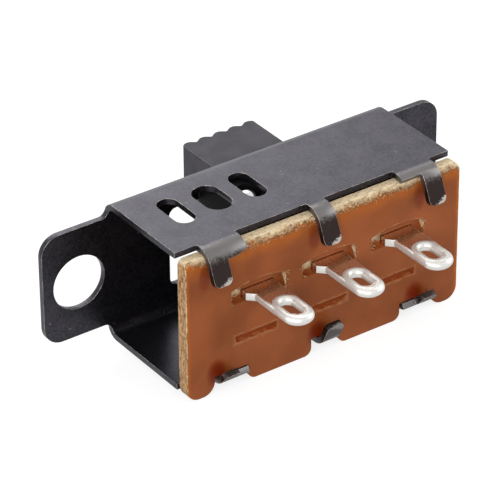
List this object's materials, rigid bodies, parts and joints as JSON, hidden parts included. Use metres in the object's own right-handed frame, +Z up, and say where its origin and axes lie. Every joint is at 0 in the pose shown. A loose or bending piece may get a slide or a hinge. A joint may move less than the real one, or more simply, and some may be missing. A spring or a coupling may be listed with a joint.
{
  "type": "slide switch",
  "caption": "Panel-mount slide switch with a ridged knob, a folded black steel frame with mounting ears and solder-eye terminals on a brown laminate board.",
  "frame": {"origin": "middle of the two mounting holes, on the outer face of the front wall", "axes": "+Y out of the knob, +X along the frame towards the end where the knob rests, +Z up"},
  "size_m": [0.0344, 0.0222, 0.0118],
  "materials": {
    "black_steel": "satin",
    "laminate": "satin",
    "tinned_brass": "polished",
    "knob_plastic": "matte",
    "spring_steel": "satin",
    "ball_steel": "polished",
    "contact_bronze": "satin"
  },
  "bodies": {
    "housing": {"frame": "black_steel", "terminal_board": "laminate", "terminal_left": "tinned_brass", "terminal_middle": "tinned_brass", "terminal_right": "tinned_brass"},
    "slider": {"slider": "knob_plastic", "moving_contact": "contact_bronze", "contact_spring": "spring_steel", "detent_spring": "spring_steel"},
    "detent_ball": {"detent_ball": "ball_steel"}
  },
  "joints": [
    {"name": "knob_slide", "type": "slide", "parent": "housing", "child": "slider", "axis": [1, 0, 0], "range_m": [-0.006, 0]},
    {"name": "detent_lift", "type": "slide", "parent": "slider", "child": "detent_ball", "axis": [0, 0, 1], "range_m": [0, 0.0004], "stiffness_N_per_m": 800, "springref_m": 0.003, "deforming": ["detent_spring"]}
  ]
}
